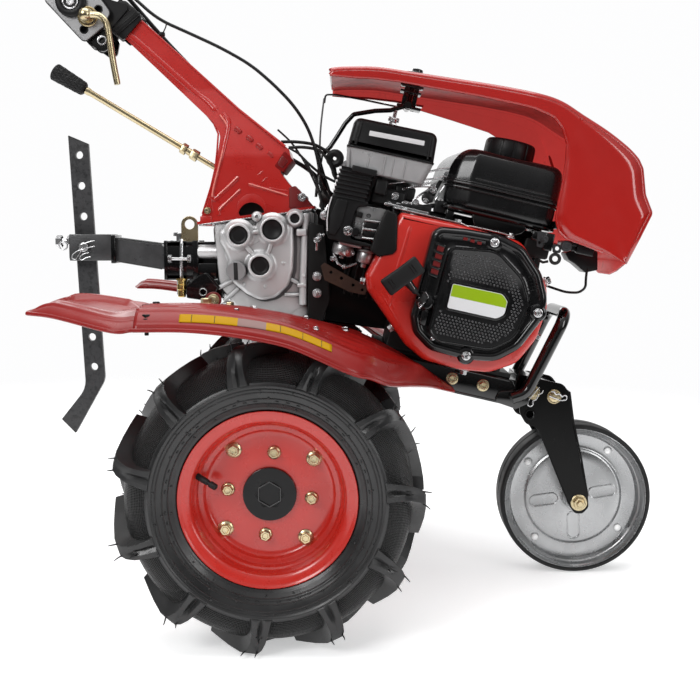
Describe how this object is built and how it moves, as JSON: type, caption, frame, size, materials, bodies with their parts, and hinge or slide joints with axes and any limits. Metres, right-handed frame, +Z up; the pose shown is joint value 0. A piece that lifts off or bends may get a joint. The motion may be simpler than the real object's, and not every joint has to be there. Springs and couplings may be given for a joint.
{
  "type": "two-wheel walking tractor",
  "caption": "Walking tractor with engine under an open hood, lugged drive wheels, folding front transport wheel, tilting handlebar and rear depth bar.",
  "frame": {"origin": "on the floor, under the middle of the machine's overall box", "axes": "+X forward, +Y to the operator's left, +Z up"},
  "size_m": [1.4903, 0.812, 1.0695],
  "materials": {
    "hood_red": "gloss moulded plastic",
    "shroud_red": "gloss baked paint",
    "fender_red": "gloss baked paint",
    "column_red": "semi-gloss paint",
    "rim_orange": "gloss paint",
    "satin_black": "satin powder coat",
    "gloss_black": "gloss black",
    "bar_grey": "hammered dark paint",
    "tank_black": "moulded, satin gloss",
    "black_plastic": "moulded plastic",
    "smoke_plastic": "milky translucent plastic",
    "cast_alloy": "as-cast, shot blasted",
    "bright_steel": "machined steel",
    "yellow_zinc": "yellow zinc plate",
    "galvanised": "bright zinc plate",
    "grey_plate": "bright zinc plate",
    "tyre": "black rubber",
    "rubber": "moulded rubber",
    "lamp": "moulded housing"
  },
  "bodies": {
    "chassis": {"gearbox": "cast_alloy", "gearbox_plugs": "rubber", "frame_rails": "satin_black", "bumper": "gloss_black", "engine_block": "cast_alloy", "fan_shroud": "shroud_red", "recoil_cover": "gloss_black", "pull_handle": "black_plastic", "fuel_tank": "tank_black", "fuel_cap": "black_plastic", "tank_bracket": "satin_black", "air_cleaner_cap": "black_plastic", "air_cleaner_bowl": "smoke_plastic", "air_cleaner_base": "black_plastic", "carburettor": "cast_alloy", "muffler": "bright_steel", "belt_guard": "satin_black", "hood": "hood_red", "hood_stay": "satin_black", "headlight": "lamp", "column": "column_red", "column_head": "satin_black", "gear_lever": "yellow_zinc", "lever_grip": "rubber", "right_fender": "fender_red", "left_fender": "fender_red", "fender_extensions": "fender_red", "hitch_bracket": "satin_black", "hitch_pins": "bright_steel", "drawbar": "bar_grey", "leg_pivot_pin": "yellow_zinc", "throttle_cable": "rubber", "clutch_cable": "rubber", "wiring": "rubber"},
    "drive_axle": {"axle_shaft": "bright_steel", "wheel_hubs": "gloss_black", "right_rim": "rim_orange", "left_rim": "rim_orange", "right_tyre": "tyre", "left_tyre": "tyre"},
    "front_leg": {"front_leg": "satin_black", "front_axle": "yellow_zinc", "leg_lock_pin": "yellow_zinc"},
    "front_wheel": {"front_wheel": "galvanised", "front_tyre": "rubber"},
    "handlebar": {"handlebar_yoke": "grey_plate", "pivot_bolt": "rubber", "clamp_lever": "yellow_zinc", "handlebar_tubes": "satin_black", "handle_grips": "rubber", "hand_levers": "black_plastic", "handlebar_cables": "rubber"},
    "coulter": {"coulter": "bar_grey"}
  },
  "joints": [
    {"name": "drive_axle_turn", "type": "hinge", "parent": "chassis", "child": "drive_axle", "pos_m": [0.15995, 0, 0.202], "axis": [0, 1, 0], "continuous": true},
    {"name": "front_leg_fold", "type": "hinge", "parent": "chassis", "child": "front_leg", "pos_m": [0.55015, 0, 0.2951], "axis": [0, -1, 0], "range_deg": [0, 90]},
    {"name": "front_wheel_turn", "type": "hinge", "parent": "front_leg", "child": "front_wheel", "pos_m": [0.62515, 0, 0.12], "axis": [0, 1, 0], "continuous": true},
    {"name": "handlebar_tilt", "type": "hinge", "parent": "chassis", "child": "handlebar", "pos_m": [-0.15545, 0, 0.8887], "axis": [0, 1, 0], "range_deg": [-12, 18]},
    {"name": "depth_bar_slide", "type": "slide", "parent": "chassis", "child": "coulter", "axis": [-0.0454, 0, 0.999], "range_m": [-0.1431, 0.0477]}
  ]
}
